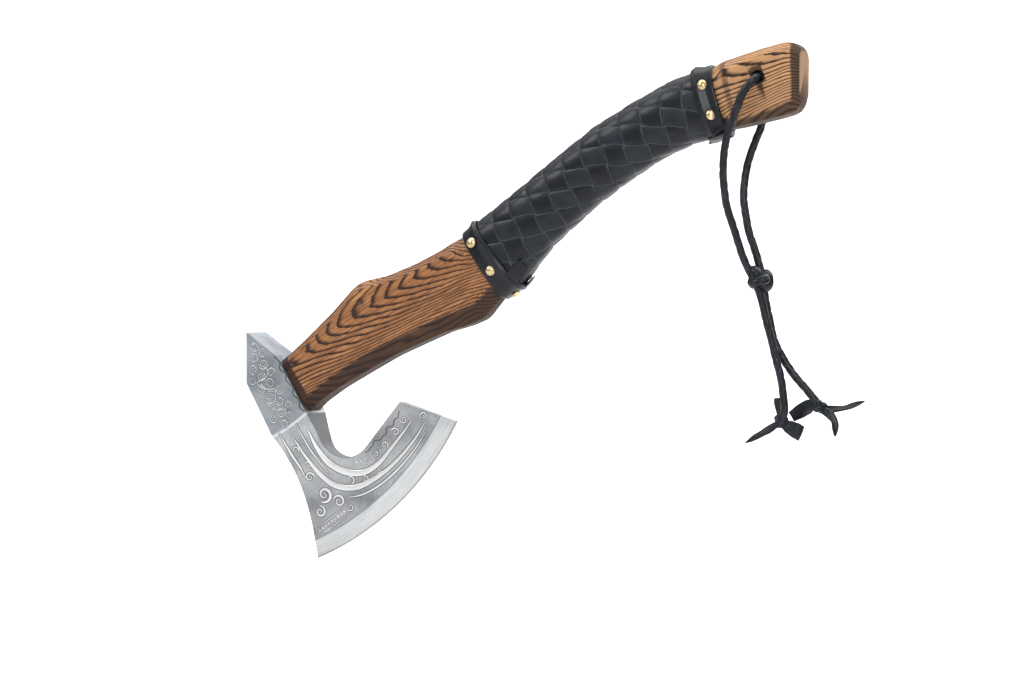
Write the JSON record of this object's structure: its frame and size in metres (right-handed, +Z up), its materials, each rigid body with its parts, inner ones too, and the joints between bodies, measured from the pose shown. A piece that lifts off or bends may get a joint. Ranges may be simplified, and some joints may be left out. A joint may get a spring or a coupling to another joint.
{
  "type": "carving hatchet",
  "caption": "Bearded carving hatchet with a faceted curved wooden handle, a woven leather grip with tacked collars and a swinging plaited lanyard.",
  "frame": {"origin": "toe of the cutting edge, where the hatchet bites the block that it stands in", "axes": "+X level towards the butt of the handle, +Y across the cheeks away from the front face, +Z up; the head and handle lie in the XZ plane"},
  "size_m": [0.4438, 0.0432, 0.3486],
  "materials": {
    "blade_steel": "etched grey cheeks with polished ornament and a bright ground bevel",
    "handle_wood": "scorched and oiled ring-porous wood",
    "wedge_wood": "plain pale wood",
    "wedge_steel": "rolled steel",
    "grip_leather": "smooth black strap leather with a soft sheen",
    "collar_leather": "smooth black strap leather with pressed edges",
    "tack_brass": "pale polished brass",
    "cord_leather": "plaited black leather",
    "tassel_leather": "cut black leather ends"
  },
  "bodies": {
    "hatchet": {"axe_head": "blade_steel", "handle": "handle_wood", "eye_wedge": "wedge_wood", "steel_wedge": "wedge_steel", "lower_collar": "collar_leather", "upper_collar": "collar_leather", "lower_collar_tacks": "tack_brass", "upper_collar_tacks": "tack_brass", "long_strip_1": "grip_leather", "long_strip_2": "grip_leather", "long_strip_3": "grip_leather", "long_strip_4": "grip_leather", "long_strip_5": "grip_leather", "long_strip_6": "grip_leather", "long_strip_7": "grip_leather", "long_strip_8": "grip_leather", "round_strip_1": "grip_leather", "round_strip_2": "grip_leather"},
    "lanyard": {"lanyard_front_cord": "cord_leather", "lanyard_back_cord": "cord_leather", "lanyard_knot": "cord_leather", "left_end_knot": "cord_leather", "right_end_knot": "cord_leather", "tassel_left_long": "tassel_leather", "tassel_left_leaf": "tassel_leather", "tassel_left_short": "tassel_leather", "tassel_right_fold": "tassel_leather", "tassel_right_tip": "tassel_leather", "tassel_right_drop": "tassel_leather"}
  },
  "joints": [
    {"name": "lanyard_swing", "type": "hinge", "parent": "hatchet", "child": "lanyard", "pos_m": [0.3255, 0, 0.326], "axis": [0, -1, 0], "range_deg": [-4, 70]}
  ]
}
